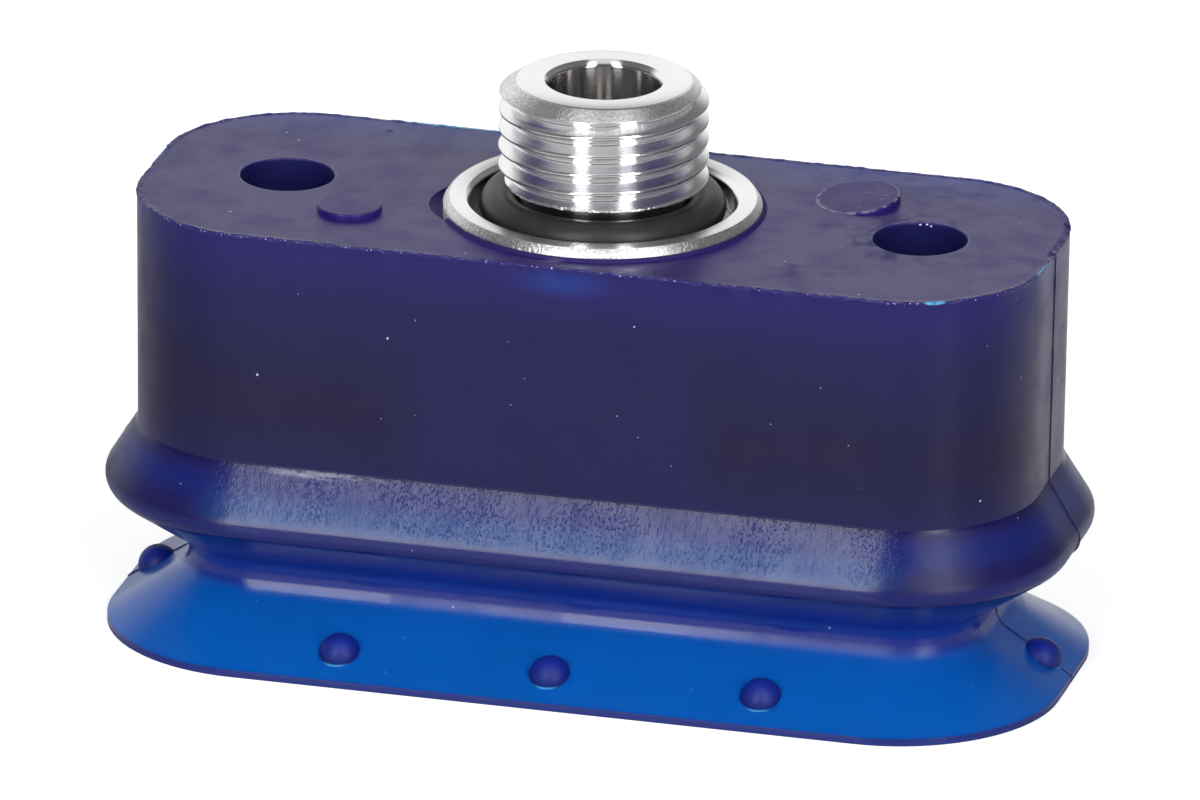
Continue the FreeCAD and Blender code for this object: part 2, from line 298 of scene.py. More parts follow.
# %% Spread the lip to its own outline
def spread(value, corner, share, reach):
    """A coordinate moved outwards by its share beyond the corner's axis, stretched before it."""
    if abs(value) >= corner - 0.001:
        return value + math.copysign(1.0, value) * reach * share
    return value * (corner + reach * share) / corner


for vertex in cup.data.vertices:
    weights = {g.group: g.weight for g in vertex.groups}
    share = weights.get(lip_share.index, 0.0)
    vertex.co.x = spread(vertex.co.x / MM, CORNER_X, share, LIP_SPREAD_X) * MM
    vertex.co.y = spread(vertex.co.y / MM, CORNER_Y, share, LIP_SPREAD_Y) * MM
cup.data.update()
reach = [max(v.co[i] for v in cup.data.vertices) / MM for i in range(3)]
print("half length, half width and height of the cup, mm:", [round(v, 2) for v in reach])

# %% [markdown]
# ## Traces of the mould
# The mould opened along the middle of both ends, and left a thin raised seam there from the
# top edge to the rim. The open top was trimmed with a blade, so its edge is a little ragged.
# Both could be bump maps, but they show on the outline, so the points themselves are moved,
# by a noise that is the same on every run.

# %% Raise the seam and fray the top edge
from mathutils import noise

SEAM_HEIGHT = 0.05


def rough(point, scale, seed):
    """Smooth noise from -1 to 1 at a point in metres; scale is in waves per mm."""
    return noise.noise(point * (scale / MM) + Vector((seed, seed * 1.7, -seed)))


def from_corner(place):
    """Distance in mm from the corner axes, or from the line between them, seen from above."""
    return math.hypot(max(abs(place.x) - CORNER_X, 0.0), max(abs(place.y) - CORNER_Y, 0.0))


def on_top_edge(place):
    """True for a place in mm on the outer edge of the top face."""
    return place.z > TOP_Z - 0.1 and from_corner(place) > CORNER - 0.1


def runs_round_top(start, end):
    """True for an edge that follows the outline of the top face."""
    is_level = abs(start.z - end.z) < 0.001
    return is_level and abs(from_corner(start) - from_corner(end)) < 0.01 and on_top_edge(start)


def pick_edges(piece, test):
    """Selects the edges whose ends, in mm, pass a test, and stays in edit mode."""
    hold([piece])
    bpy.ops.object.mode_set(mode="EDIT")
    bpy.ops.mesh.select_mode(type="EDGE")
    bpy.ops.mesh.select_all(action="DESELECT")
    bpy.ops.object.mode_set(mode="OBJECT")
    for edge in piece.data.edges:
        start, end = [piece.data.vertices[i].co / MM for i in edge.vertices]
        edge.select = test(start, end)
    bpy.ops.object.mode_set(mode="EDIT")


pick_edges(cup, runs_round_top)
bpy.ops.mesh.subdivide(number_cuts=2)
bpy.ops.mesh.select_mode(type="VERT")
bpy.ops.object.mode_set(mode="OBJECT")

raised = 0
for vertex in cup.data.vertices:
    place = vertex.co / MM
    weights = {g.group: g.weight for g in vertex.groups}
    outer = weights.get(outer_side.index, 0.0) > 0.5
    if outer and abs(place.y) < 0.02 and abs(place.x) > 12 and place.z < TOP_Z - 0.15:
        ragged = 1.6 if place.z < FOOT_Z else 0.7
        height = SEAM_HEIGHT * (1 + ragged * rough(vertex.co, 1.3, 3))
        vertex.co += vertex.normal * max(0.012, height) * MM
        raised += 1
    if outer and on_top_edge(place):
        out = Vector((vertex.normal.x, vertex.normal.y, 0.0))
        fray = 0.05 * rough(vertex.co, 1.1, 9) + 0.05 * rough(vertex.co, 3.7, 4)
        vertex.co.z += 0.05 * MM * max(0.0, rough(vertex.co, 3.1, 5) + 0.1)
        if place.x > 20 and -0.5 < place.y < 3.6:
            vertex.co.z -= (0.13 + 0.05 * rough(vertex.co, 1.5, 6)) * MM
        vertex.co += out * fray * MM
print("points on the seams:", raised)

# %% [markdown]
# ## Tools that cut and add
# What the mould's cores and pins left is easiest to think of as separate tools: two pockets
# beside the boss, the seat of the fitting with a low bead of rubber round it and a dent, two
# blind holes, two round marks on the top and eight small domes on the lip. Each is modelled
# once, and a Boolean modifier cuts it out of the cup or adds it. Inset and extrude could do
# it too, but would tear the neat rows apart.

# %% Two pockets beside the boss
POCKET_X = 12.0
POCKET_HALF_X = 5.4
POCKET_HALF_Y = 5.9
POCKET_ROOF = 15.6
TOOL_FOOT = ROOF_Z - 0.3


def pocket_tool(name, low, high, radius):
    """A box in mm whose upright edges are rounded with Bevel."""
    let_go()
    bpy.ops.mesh.primitive_cube_add(size=1, location=(Vector(low) + Vector(high)) / 2 * MM)
    piece = bpy.context.object
    piece.name = name
    piece.scale = (Vector(high) - Vector(low)) * MM
    bpy.ops.object.transform_apply(location=True, rotation=False, scale=True)
    pick_edges(piece, lambda start, end: abs(start.z - end.z) > 0.1)
    bpy.ops.mesh.bevel(offset=radius * MM, segments=6, affect="EDGES")
    bpy.ops.mesh.select_mode(type="VERT")
    finish_mesh(piece)
    return piece


pockets = [pocket_tool(f"pocket_{i}", (way * POCKET_X - POCKET_HALF_X, -POCKET_HALF_Y, TOOL_FOOT),
                       (way * POCKET_X + POCKET_HALF_X, POCKET_HALF_Y, POCKET_ROOF), 2.0)
           for i, way in enumerate((-1, 1))]

# %% Seat of the fitting, the low bead of rubber round the collar and a dent beside it
BASE_R = 5.4
BASE_TOP = 13.8
WAIST_R = 4.3
COLLAR_R = 7.385
COLLAR_FOOT = 18.64
GAP = 0.005
DENT_PLACE = Vector((-4.18, -1.03, TOP_Z))
DENT_LEAN = math.radians(15)


def copy_to(piece, name, place):
    """A copy with its own mesh, moved by a matrix that is then applied."""
    let_go()
    twin = piece.copy()
    twin.data = piece.data.copy()
    twin.name = name
    bpy.context.collection.objects.link(twin)
    twin.matrix_world = place
    twin.select_set(True)
    bpy.context.view_layer.objects.active = twin
    bpy.ops.object.transform_apply(location=True, rotation=True, scale=True)
    return twin


seat = turn_on_lathe("seat", [
    (0, TOOL_FOOT), (BASE_R + GAP, TOOL_FOOT), (BASE_R + GAP, BASE_TOP + GAP),
    (WAIST_R + GAP, BASE_TOP + GAP), (WAIST_R + GAP, COLLAR_FOOT - GAP),
    (COLLAR_R + GAP, COLLAR_FOOT - GAP), (COLLAR_R + GAP, TOP_Z - 0.02), (COLLAR_R + 0.05, TOP_Z + 0.2),
    (COLLAR_R + 0.05, TOP_Z + 1), (0, TOP_Z + 1)], 128)
bead = turn_on_lathe("bead", [
    (COLLAR_R - 0.6, TOP_Z - 0.4), (COLLAR_R + 0.20, TOP_Z - 0.4), (COLLAR_R + 0.20, TOP_Z + 0.004),
    (COLLAR_R + 0.17, TOP_Z + 0.03), (COLLAR_R + 0.14, TOP_Z + 0.08), (COLLAR_R + 0.11, TOP_Z + 0.13),
    (COLLAR_R + 0.08, TOP_Z + 0.16), (COLLAR_R - 0.6, TOP_Z + 0.16)], 128)
dent_disc = turn_on_lathe("dent_disc", [(0, -1.09), (3.4, -1.09), (3.54, -1.05), (3.6, -0.95), (3.6, 1.5),
                                        (0, 1.5)], 96)
dent = copy_to(dent_disc, "dent", Matrix.Translation(DENT_PLACE * MM) @ Matrix.Rotation(DENT_LEAN, 4, "Y"))
bpy.data.objects.remove(dent_disc)

# %% Two blind holes with a soft edge
HOLE_R = 2.18
HOLE_X = 15.1
HOLE_DEPTH = 4
SOFT_R = 0.08
hole_edge = [(HOLE_R + SOFT_R - SOFT_R * math.sin(a), TOP_Z - SOFT_R + SOFT_R * math.cos(a))
             for a in [math.radians(15 * i) for i in range(7)]]
hole = turn_on_lathe("side_hole", [(0, TOP_Z + 1), (HOLE_R + 0.1, TOP_Z + 1)] + hole_edge
                     + [(HOLE_R - 0.02, TOP_Z - HOLE_DEPTH + 0.1), (HOLE_R - 0.12, TOP_Z - HOLE_DEPTH),
                        (0, TOP_Z - HOLE_DEPTH)], 56)
holes = [copy_to(hole, f"side_hole_{i}", Matrix.Translation((way * HOLE_X * MM, 0, 0)))
         for i, way in enumerate((-1, 1))]
bpy.data.objects.remove(hole)

# %% Two round marks on the top face
REAR_MARK = (11.1, 4.2)
REAR_TIP = (4.5, -5.5)
REAR_MARK_H = 0.20


def mark_tool(name, radius, place, tip, height):
    """A low disc with a slightly worn edge, tipped by two angles and sunk into the face."""
    disc = turn_on_lathe(name, [(0, -0.5), (radius, -0.5), (radius, height - 0.06),
                                (radius - 0.02, height - 0.02), (radius - 0.07, height), (0, height)], 48)
    tipped = Matrix.Rotation(math.radians(tip[0]), 4, "X") @ Matrix.Rotation(math.radians(tip[1]), 4, "Y")
    mark = copy_to(disc, name + "_placed", Matrix.Translation(Vector((*place, TOP_Z)) * MM) @ tipped)
    bpy.data.objects.remove(disc)
    return mark


marks = [mark_tool("front_mark", 1.5, (-11.1, -3.7), (1.0, 0.0), 0.28),
         mark_tool("rear_mark", 1.95, REAR_MARK, REAR_TIP, REAR_MARK_H)]

# %% Eight domes on the lip
DOME_R = 0.95
DOME_H = 0.75
DOME_GAP = 10.05
END_INSET = 1.35
SIDE_INSET = 1.6
END_OUT = RIM_OUT - LIP_SPREAD_Y + LIP_SPREAD_X
HALF_LENGTH = CORNER_X + CORNER + END_OUT
HALF_WIDTH = CORNER_Y + CORNER + RIM_OUT

ball_r = (DOME_R ** 2 + DOME_H ** 2) / (2 * DOME_H)
widest = math.asin(DOME_R / ball_r)
cap = [(ball_r * math.sin(widest * i / 8), DOME_H - ball_r + ball_r * math.cos(widest * i / 8))
       for i in range(9)]
dome = turn_on_lathe("dome", cap + [(DOME_R, -0.2), (0, -0.2)], 32)
lip_top = NECK - lip_way * NECK_R
side_run = RIM.x - lip_top.x
end_run = side_run / OUTER_TRAVEL * (END_OUT + NECK_DEPTH)


def seat_dome(turn, half_lip, from_rim, run, along):
    """The dome's place on the lip: tilted with the slope, set in from the rim, turned round Z."""
    slope = (lip_top.y - RIM.y) / run
    tilt = Matrix.Rotation(math.atan(slope), 4, "Y")
    place = Matrix.Translation(Vector((half_lip - from_rim, along, RIM.y + from_rim * slope)) * MM)
    return Matrix.Rotation(math.radians(turn), 4, "Z") @ place @ tilt


dome_places = [seat_dome(turn, HALF_LENGTH, END_INSET, end_run, 0.0) for turn in (0, 180)]
dome_places += [seat_dome(turn, HALF_WIDTH, SIDE_INSET, side_run, along)
                for turn in (90, 270) for along in (-DOME_GAP, 0, DOME_GAP)]
domes = [copy_to(dome, f"dome_{i}", place) for i, place in enumerate(dome_places)]
bpy.data.objects.remove(dome)
print("tools:", len(pockets), "pockets,", len(holes), "holes,", len(marks), "marks,", len(domes), "domes")

# %% Apply the tools to the cup
def apply_tools(piece, tools, operation):
    """Joins the tools, applies them with one Boolean and removes them."""
    hold(tools)
    if len(tools) > 1:
        bpy.ops.object.join()
    hold([piece])
    bpy.ops.object.modifier_add(type="BOOLEAN")
    modifier = piece.modifiers[-1]
    modifier.operation = operation
    modifier.solver = "EXACT"
    modifier.object = tools[0]
    bpy.ops.object.modifier_apply(modifier=modifier.name)
    bpy.data.objects.remove(tools[0])
    print(piece.name, "after", operation, "has", len(piece.data.polygons), "faces")


apply_tools(cup, domes + marks, "UNION")
apply_tools(cup, [bead], "UNION")
apply_tools(cup, pockets + holes + [seat], "DIFFERENCE")
apply_tools(cup, [dent], "DIFFERENCE")
hold([cup])
bpy.ops.object.shade_smooth_by_angle(angle=math.radians(26))
for face in cup.data.polygons:
    if face.normal.z > 0.97 and face.center.z > (TOP_Z - 0.05) * MM and face.area > 0.1 * MM ** 2:
        face.use_smooth = False

# %% [markdown]
# ## How thick the wall is
# The rubber is dyed and lets light through: the thin lip glows bright blue, while the thick
# block looks almost black. Real see-through rendering would be slow and grainy, so the
# thickness is measured once: from each point a ray goes into the wall and comes out on the
# other side. Its length is kept as an attribute that the material turns into colour.

# %% Measure the wall from every point
THICKEST = 4.0
skin = BVHTree.FromPolygons([v.co.copy() for v in cup.data.vertices],
                            [list(p.vertices) for p in cup.data.polygons])
walls = []
# Points of the block's wall with a pocket behind them are noted too; the colour later gives them painted
# shade, for the hollow seen through the wall.
pocket_behind = []
for vertex in cup.data.vertices:
    inward = -vertex.normal
    hit = skin.ray_cast(vertex.co + inward * 0.02 * MM, inward, 60 * MM)
    walls.append(min(hit[3] / MM, THICKEST) if hit[0] else THICKEST)
    far = hit[0] / MM if hit[0] else Vector((0, 0, 0))
    in_pocket = 11 < far.z < POCKET_ROOF + 0.1 and abs(far.x) > POCKET_X - POCKET_HALF_X - 0.1
    block_wall = walls[-1] < THICKEST and vertex.co.z > 10.5 * MM
    pocket_behind.append(1.0 if in_pocket and block_wall else 0.0)
print("thinnest wall, mm:", round(min(walls), 2), "points before a pocket:", int(sum(pocket_behind)))

# %% Soften the measured values and keep them with the mesh
import numpy as np

edges = np.array([edge.vertices[:] for edge in cup.data.edges])
places = np.array([vertex.co[:] for vertex in cup.data.vertices]) / MM
links = np.bincount(edges.ravel(), minlength=len(places))


def softened(values, rounds, where):
    """Values averaged with those of the neighbouring points, a few times over, in one zone."""
    values = np.array(values, dtype=float)
    for _ in range(rounds):
        sums = np.bincount(edges[:, 0], values[edges[:, 1]], len(places))
        sums += np.bincount(edges[:, 1], values[edges[:, 0]], len(places))
        values = np.where(where, 0.5 * values + 0.5 * sums / links, values)
    return values


walls = np.array(walls)
block = places[:, 2] > FOOT_Z - 0.05
walls[block] = np.maximum(walls[block], 3.2)
fold = (places[:, 2] > 3.2) & ~block
walls = softened(walls, 14, fold)
# Painted light: under the fold the wall counts as thinner than measured, so that downward face is painted
# lighter.
under_fold = fold & (places[:, 2] < 6.6) & (places[:, 2] > NECK.y + 0.2)
walls = walls * (1 - 0.34 * softened(under_fold, 8, fold))
walls = softened(walls, 4, fold)
on_seam = (np.abs(places[:, 1]) < 0.02) & (np.abs(places[:, 0]) > 12) & (places[:, 2] > 0.3)
walls[on_seam] = np.maximum(walls[on_seam], 1.6)
pocket_behind = softened(pocket_behind, 12, places[:, 2] > FOOT_Z)

beyond = np.hypot(np.maximum(np.abs(places[:, 0]) - CORNER_X, 0),
                  np.maximum(np.abs(places[:, 1]) - CORNER_Y, 0))
edge_points = (np.abs(places[:, 2] - TOP_Z) < 0.12) & (beyond > CORNER - 0.2)

# Painted light: a glint, the bright crescent on the lip just below each dome, strongest on its downhill
# side, where the dome focuses light.
glints = np.zeros(len(places))
for place in dome_places:
    local = place.inverted()
    for number, point in enumerate(places):
        if point[2] < 3:
            x, y, z = local @ (Vector(point) * MM) / MM
            if abs(z) < 0.12 and abs(math.hypot(x, y) - DOME_R) < 0.03:
                glints[number] = max(0.0, x / DOME_R) ** 3
for name, values in (("wall", walls), ("pocket", pocket_behind), ("glint", glints),
                     ("edge", edge_points * 1.0)):
    attribute = cup.data.attributes.new(name, "FLOAT", "POINT")
    attribute.data.foreach_set("value", values.astype(np.float32))
print("wall of the fold, mm:", round(float(np.median(walls[fold])), 2))

# %% [markdown]
# ## The turned fitting
# The fitting came off a lathe, so its half section is drawn and spun. Its thread could be
# rings, but a real thread climbs: a small groove section is wound up with the Screw modifier
# and the groove is then cut out of the turned blank, which also leaves the thread's true
# run-out on the chamfer. The crests and roots are round, as on a pipe thread.

# %% Turn the blank
COLLAR_TOP = 21.64
THREAD_FOOT = 22.54
THREAD_TOP = 27.26
THREAD_R = 4.864
CROWN = THREAD_TOP + 0.08
BORE_R = 2.535
GROOVE_R = 6.125
GROOVE_FLOOR = 20.32
UNDERCUT_R = 3.92
fitting = turn_on_lathe("turned_fitting", [
    (BORE_R, ROOF_Z), (BASE_R, ROOF_Z), (BASE_R, BASE_TOP), (WAIST_R, BASE_TOP), (WAIST_R, COLLAR_FOOT),
    (COLLAR_R, COLLAR_FOOT), (COLLAR_R, COLLAR_TOP - 0.36), (COLLAR_R - 0.02, COLLAR_TOP - 0.31),
    (COLLAR_R - 0.22, COLLAR_TOP - 0.03), (COLLAR_R - 0.26, COLLAR_TOP), (6.38, COLLAR_TOP),
    (6.34, COLLAR_TOP - 0.02), (6.15, COLLAR_TOP - 0.2), (GROOVE_R, COLLAR_TOP - 0.27),
    (GROOVE_R, GROOVE_FLOOR + 0.1), (GROOVE_R - 0.1, GROOVE_FLOOR), (UNDERCUT_R, GROOVE_FLOOR),
    (UNDERCUT_R, THREAD_FOOT), (4.68, THREAD_FOOT), (4.80, THREAD_FOOT),
    (THREAD_R - 0.01, THREAD_FOOT + 0.06), (THREAD_R, THREAD_FOOT + 0.16), (THREAD_R, THREAD_TOP - 0.52),
    (THREAD_R - 0.04, THREAD_TOP - 0.47), (4.03, CROWN - 0.02), (3.96, CROWN),
    (2.78, CROWN), (2.74, CROWN - 0.03), (2.55, CROWN - 0.25), (BORE_R, CROWN - 0.3)], 128)

# %% Wind the groove of the thread
PITCH = 0.907
ROUND = 0.1373 * PITCH
DEPTH = 0.6403 * PITCH
FLANK = math.radians(62.5)
root_r = THREAD_R - DEPTH
GROOVE_START = 24.074 - 3 * PITCH

half = [(root_r + ROUND * (1 - math.cos(a)), ROUND * math.sin(a)) for a in [FLANK * i / 4 for i in range(5)]]
half += [(THREAD_R - ROUND * (1 - math.cos(a)), PITCH / 2 - ROUND * math.sin(a))
         for a in [FLANK + (math.radians(12) - FLANK) * i / 4 for i in range(5)]]
half.append((THREAD_R + 0.06, half[-1][1]))
groove_line = [(r, -z) for r, z in reversed(half[1:])] + half
groove = draw_line("thread_groove", [(r, 0, GROOVE_START + z) for r, z in groove_line + groove_line[:1]])
finish_mesh(groove)
bpy.ops.object.modifier_add(type="SCREW")
screw = groove.modifiers[-1]
screw.axis = "Z"
screw.angle = math.tau
screw.screw_offset = PITCH * MM
screw.iterations = 8
screw.steps = 128
screw.render_steps = 128
bpy.ops.object.modifier_apply(modifier=screw.name)
bpy.ops.object.mode_set(mode="EDIT")
bpy.ops.mesh.select_all(action="SELECT")
bpy.ops.mesh.fill_holes(sides=0)
finish_mesh(groove)
apply_tools(fitting, [groove], "DIFFERENCE")

# %% Leave a burr at the lower end of the thread
burrs = 0
for vertex in fitting.data.vertices:
    radius = math.hypot(vertex.co.x, vertex.co.y) / MM
    if abs(vertex.co.z / MM - THREAD_FOOT) < 0.05 and radius > 4.5:
        vertex.co.z += 0.05 * MM * rough(vertex.co, 2.6, 2)
        burrs += 1
fitting.data.update()
hold([fitting])
bpy.ops.object.shade_smooth_by_angle(angle=math.radians(32))
print("points in the burr:", burrs)

# %% [markdown]
# ## The sealing ring
# A black rubber ring lies in the collar's groove and is gripped by the undercut below the
# thread. A torus primitive would be too perfect: the cord's section is drawn with the fine
# ridge that its own mould leaves on the outside, and spun into a ring.

# %% Spin the ring
CORD_R = 0.885
CORD_SEAT = 0.89
CORD_POINTS = 48
RIDGE = 0.018
RING_R = UNDERCUT_R + CORD_SEAT
RING_Z = GROOVE_FLOOR + CORD_SEAT
cord = []
for i in range(CORD_POINTS):
    angle = math.tau * i / CORD_POINTS
    half_width = CORD_R + (RIDGE if i == 0 else 0.0)
    cord.append((RING_R + half_width * math.cos(angle), RING_Z + CORD_R * math.sin(angle)))
ring = turn_on_lathe("sealing_ring", cord, 112)
hold([ring])
bpy.ops.object.shade_smooth_by_angle(angle=math.radians(40))

# %% [markdown]
# ## Building a finish from nodes
# Every finish below is made of nodes, so that it holds up close and from any side. Patterns
# read the Object coordinates in millimetres. A few small helpers keep the recipes short: some
# do sums, some make masks that are 1 in one zone and 0 elsewhere, and one paints with a mask.

# %% Helpers that add nodes and do sums
trees = []


def fill(socket, value):
    """Links a socket to another one, or sets it to a value; a colour is given as three numbers."""
    if isinstance(value, bpy.types.NodeSocket):
        trees[-1].links.new(value, socket)
    elif socket.type == "RGBA":
        socket.default_value = (*value, 1.0)
    else:
        socket.default_value = value


def add(kind, options=None, **sockets):
    """Adds a node to the newest tree and fills its sockets; in0, in1... go by number."""
    node = trees[-1].nodes.new("ShaderNode" + kind)
    for option, value in (options or {}).items():
        setattr(node, option, value)
    for name, value in sockets.items():
        number = name[2:] if name.startswith("in") and name[2:].isdigit() else None
        fill(node.inputs[int(number)] if number else node.inputs[name.replace("_", " ")], value)
    return node


def calc(operation, first, second=0.0, third=0.0):
    """The result of one Math node."""
    return add("Math", {"operation": operation}, in0=first, in1=second, in2=third).outputs[0]


def product(first, *others):
    """Several values multiplied with one another."""
    for other in others:
        first = calc("MULTIPLY", first, other)
    return first


def largest(first, *others):
    """The largest of several values."""
    for other in others:
        first = calc("MAXIMUM", first, other)
    return first


def raised_by(value, changes):
    """A value plus several others, each multiplied by its own amount."""
    for other, amount in changes:
        value = calc("MULTIPLY_ADD", other, amount, value)
    return value


# %% Helpers for masks and colours
def ramp(value, low, high, start=0.0, end=1.0):
    """A value that climbs smoothly from start to end between two limits."""
    return add("MapRange", {"interpolation_type": "SMOOTHSTEP"}, Value=value, From_Min=low,
               From_Max=high, To_Min=start, To_Max=end).outputs[0]


def band(value, low, full_low, full_high, high):
    """1 between the two middle limits and 0 beyond the outer ones, with soft sides."""
    return product(ramp(value, low, full_low), ramp(value, high, full_high))


def near(vector, centre, size, turn=0.0, soft=0.5):
    """A single spot: 1 in the middle of an ellipsoid in mm, turned about Z, and 0 outside it."""
    local = add("Mapping", {"vector_type": "TEXTURE"}, Vector=vector, Location=centre,
                Rotation=(0, 0, math.radians(turn)), Scale=size).outputs[0]
    length = add("VectorMath", {"operation": "LENGTH"}, in0=local).outputs["Value"]
    return ramp(length, 1.0, soft)


def apart(vector, point):
    """Distance in mm from a point."""
    return add("VectorMath", {"operation": "DISTANCE"}, in0=vector, in1=point).outputs["Value"]


def noise_at(vector, scale, detail=2.0, roughness=0.5, stretch=None):
    """Noise from 0 to 1; scale is in waves per mm and stretch scales each axis first."""
    if stretch:
        vector = add("VectorMath", {"operation": "MULTIPLY"}, in0=vector, in1=stretch).outputs[0]
    return add("TexNoise", Vector=vector, Scale=scale, Detail=detail, Roughness=roughness).outputs["Fac"]


def specks(vector, scale, radius):
    """Small round specks, 1 inside them, scattered with a Voronoi texture."""
    cells = add("TexVoronoi", Vector=vector, Scale=scale, Randomness=1.0)
    return ramp(cells.outputs["Distance"], radius * scale * 1.25, radius * scale * 0.8)


def blend_colour(factor, first, second, mode="MIX"):
    """The colour of one Mix node."""
    options = {"data_type": "RGBA", "blend_type": mode}
    return add("Mix", options, in0=factor, in6=first, in7=second).outputs[2]


def paint(under, zone, share, tint):
    """A colour with a tint laid over it in one zone, at most by a share."""
    return blend_colour(calc("MULTIPLY", zone, share), under, tint)


# %% Helpers that start and end a finish
def new_finish(name):
    """A material whose tree is the newest, its Principled node and its Object coordinates in mm."""
    material = bpy.data.materials.new(name)
    material.use_nodes = True
    trees.append(material.node_tree)
    shader = material.node_tree.nodes["Principled BSDF"]
    place = add("TexCoord").outputs["Object"]
    in_mm = add("VectorMath", {"operation": "SCALE"}, in0=place, Scale=1000.0).outputs[0]
    return material, shader, in_mm


def put_on(piece, material, shader, colour, roughness, relief):
    """Links colour, roughness and relief to the shader and gives the piece this material alone."""
    for socket, value in (("Base Color", colour), ("Roughness", roughness), ("Normal", relief.outputs[0])):
        fill(shader.inputs[socket], value)
    piece.data.materials.clear()
    piece.data.materials.append(material)
    print(material.name, "has", len(material.node_tree.nodes), "nodes")


# %% [markdown]
# ## Blue rubber
# The dye swallows red first, then green, so the thinner the wall the brighter and bluer the
# rubber. A colour ramp turns the measured wall into that colour. Light and shade are painted
# in some places: painted shade on the pockets behind the front, in the holes and round the
# collar; painted light on the upper block, the underside of the fold, the domes and the top
# face; painted glows under the collar, at the neck and in the chips of the edge; painted
# glints below the domes, sparkles in the right hole, reflections of the collar and a highlight
# on the shoulder. On top come the traces of the mould and of use: a trimmed edge with crumbs
# and chips, worn rims, scratches, stains, dust and a mottled shine on the shoulder. An image
# could hold them all, but masks made from the place on the cup stay sharp at any distance.

# %% Colour of the rubber by the thickness of its wall
rubber, shader, in_mm = new_finish("moulded_polyurethane")
x, y, z = add("SeparateXYZ", Vector=in_mm).outputs
along = calc("ABSOLUTE", x)
wall = add("Attribute", {"attribute_name": "wall"}).outputs["Fac"]
pocket = add("Attribute", {"attribute_name": "pocket"}).outputs["Fac"]

OPAQUE = 3.0
DYE = ((0.25, (0.004, 0.150, 0.580)), (0.45, (0.001, 0.088, 0.420)), (0.75, (0.003, 0.042, 0.300)),
       (1.0, (0.009, 0.025, 0.225)), (1.35, (0.003, 0.011, 0.135)), (2.2, (0.006, 0.005, 0.085)),
       (OPAQUE, (0.006, 0.003, 0.062)))
dye = add("ValToRGB", Fac=calc("DIVIDE", wall, OPAQUE))
dye.color_ramp.interpolation = "LINEAR"
while len(dye.color_ramp.elements) < len(DYE):
    dye.color_ramp.elements.new(0.5)
for element, (thick, tint) in zip(dye.color_ramp.elements, DYE):
    element.position = thick / OPAQUE
    element.color = (*tint, 1.0)

cloudy = noise_at(in_mm, 0.22, 3.0)
# The cloudy tone is the rubber's own; the pockets behind the front wall get painted shade, for the hollows
# seen through it.
shade = product(calc("MULTIPLY_ADD", cloudy, 0.3, 0.85), calc("MULTIPLY_ADD", pocket, -0.4, 1.0))
colour = blend_colour(1.0, dye.outputs["Color"], shade, "MULTIPLY")
print("rubber colours:", len(DYE), "steps of thickness")

# %% Zones of the cup with a colour of their own, and zones painted with light and shade
on_straight = ramp(along, 18.0, 14.0)
on_fold = band(z, 6.4, 7.0, 9.6, 9.9)
low_slope = band(z, 7.3, 7.7, 8.1, 9.1)
painted_glow_under_collar = near(in_mm, (0.3, -8.5, 20.4), (3.2, 2.0, 1.0), soft=0.0)
painted_glow_at_neck = near(in_mm, (-19.9, 0.6, 2.7), (1.0, 1.4, 0.7), soft=0.2)
# Painted light: the block gets lighter towards its top, for the light that comes in through the top face.
colour = blend_colour(ramp(z, 17.5, 21.0), colour, (0.010, 0.005, 0.105))
colour = paint(colour, product(on_fold, on_straight), 0.6, (0.005, 0.012, 0.130))
colour = paint(colour, product(low_slope, on_straight), 0.8, (0.003, 0.050, 0.210))
# Painted light: a bright blue glow in the thin wall in front of the collar, where light from the metal comes
# through.
colour = paint(colour, painted_glow_under_collar, 0.7, (0.006, 0.036, 0.240))
# Painted light: a pale glow where the thin rubber at the left neck has light shining through it.
colour = paint(colour, painted_glow_at_neck, 0.6, (0.08, 0.26, 0.42))

on_dome = product(ramp(wall, 0.5, 0.7), ramp(z, 2.8, 2.5))
# The domes' blue is their own; they are painted lighter towards their upper side, as painted light against
# the shade that falls there.
dome_painted_light = ramp(z, 1.0, 2.0)
dome_tint_and_painted_light = blend_colour(dome_painted_light, (0.002, 0.013, 0.165), (0.004, 0.020, 0.275))
colour = paint(colour, on_dome, 0.85, dome_tint_and_painted_light)
on_top = ramp(z, 21.0, 21.06)
# Painted light: the top face is painted lighter and more violet than the block, for its sheen, and bluer
# towards the back edge, for the light that comes through the thin rubber there.
painted_glow_to_the_back = ramp(y, 4.5, 8.6)
top_tint_and_painted_sheen = blend_colour(painted_glow_to_the_back, (0.022, 0.010, 0.145), (0.020, 0.026, 0.230))
colour = blend_colour(on_top, colour, top_tint_and_painted_sheen)

by_hole = add("CombineXYZ", X=along, Y=y, Z=0.0).outputs[0]
from_hole = apart(by_hole, (HOLE_X, 0, 0))
in_hole = product(ramp(from_hole, 2.24, 2.19), band(z, 16.9, 17.0, 21.0, 21.08))
# Painted shade: the inside of each hole is painted a darker blue, for the shade in it.
colour = blend_colour(in_hole, colour, (0.0005, 0.0005, 0.075))
on_rim = ramp(z, 0.42, 0.34)
colour = blend_colour(on_rim, colour, (0.010, 0.022, 0.170))
print("rubber nodes so far:", len(trees[-1].nodes))

# %% Trimmed edge with its crumbs, and chips painted bright where light comes through
trim = add("Attribute", {"attribute_name": "edge"}).outputs["Fac"]
glint = add("Attribute", {"attribute_name": "glint"}).outputs["Fac"]
torn = product(trim, ramp(noise_at(in_mm, 2.6, 3.0, 0.6), 0.42, 0.58))
crumbs = product(ramp(trim, 0.3, 0.8), ramp(noise_at(in_mm, 8.0, 1.0), 0.66, 0.72))
colour = blend_colour(torn, colour, (0.013, 0.007, 0.130))
colour = blend_colour(crumbs, colour, (0.45, 0.45, 0.62))
# Painted light: the bright crescents of the glints below the domes.
colour = paint(colour, ramp(glint, 0.3, 0.9), 0.85, (0.08, 0.38, 0.72))

